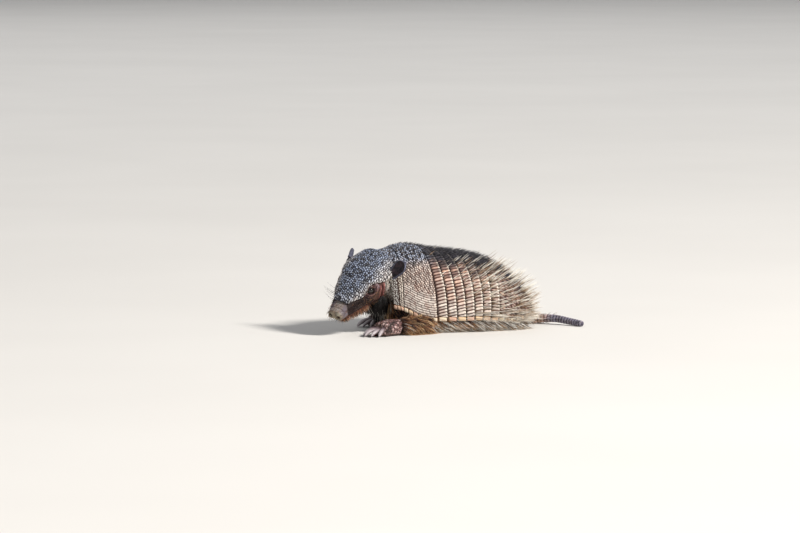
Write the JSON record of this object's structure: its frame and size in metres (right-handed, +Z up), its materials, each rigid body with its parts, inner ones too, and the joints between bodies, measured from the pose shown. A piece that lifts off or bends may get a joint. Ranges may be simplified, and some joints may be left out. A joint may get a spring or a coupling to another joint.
{
  "type": "large hairy armadillo model",
  "caption": "Life-size still model of an armadillo crouching on the ground, with banded armour, a flat armoured head lowered and turned to its left, and a short tail.",
  "frame": {"origin": "under the middle of the animal's bounding box, on the ground it lies on", "axes": "+Z up, the body lies along Y with the head towards -Y, and the animal's left side is +X"},
  "size_m": [0.1582, 0.3382, 0.1077],
  "materials": {
    "armour": "dull horn scutes over bone, warm grey-brown with cream edges",
    "head_armour": "small slate-grey horn scutes, satin",
    "skin": "wrinkled bare skin, matt",
    "coat": "sparse coarse hair, brown at the root and cream at the tip",
    "ear": "thin granular skin, dark slate",
    "eye": "wet, almost black",
    "claw": "translucent horn, grey with pale tips",
    "tail": "ringed small scutes, slate, orange-brown at the root"
  },
  "bodies": {
    "root": {"nuchal_band": "armour", "scapular_shield": "armour", "band_1": "armour", "band_2": "armour", "band_3": "armour", "band_4": "armour", "band_5": "armour", "band_6": "armour", "band_7": "armour", "pelvic_shield": "armour", "head": "skin", "jaw": "skin", "head_shield": "head_armour", "eye_left": "eye", "ear_left": "ear", "eye_right": "eye", "ear_right": "ear", "neck": "coat", "trunk": "coat", "fore_left_leg": "coat", "fore_left_foot": "skin", "fore_left_claw_1": "claw", "fore_left_claw_2": "claw", "fore_left_claw_3": "claw", "fore_left_claw_4": "claw", "fore_left_claw_5": "claw", "fore_right_leg": "coat", "fore_right_foot": "skin", "fore_right_claw_1": "claw", "fore_right_claw_2": "claw", "fore_right_claw_3": "claw", "fore_right_claw_4": "claw", "fore_right_claw_5": "claw", "hind_left_leg": "coat", "hind_left_foot": "skin", "hind_left_claw_1": "claw", "hind_left_claw_2": "claw", "hind_left_claw_3": "claw", "hind_left_claw_4": "claw", "hind_left_claw_5": "claw", "hind_right_leg": "coat", "hind_right_foot": "skin", "hind_right_claw_1": "claw", "hind_right_claw_2": "claw", "hind_right_claw_3": "claw", "hind_right_claw_4": "claw", "hind_right_claw_5": "claw", "tail_root": "tail", "tail_middle": "tail", "tail_tip": "tail"}
  },
  "joints": []
}
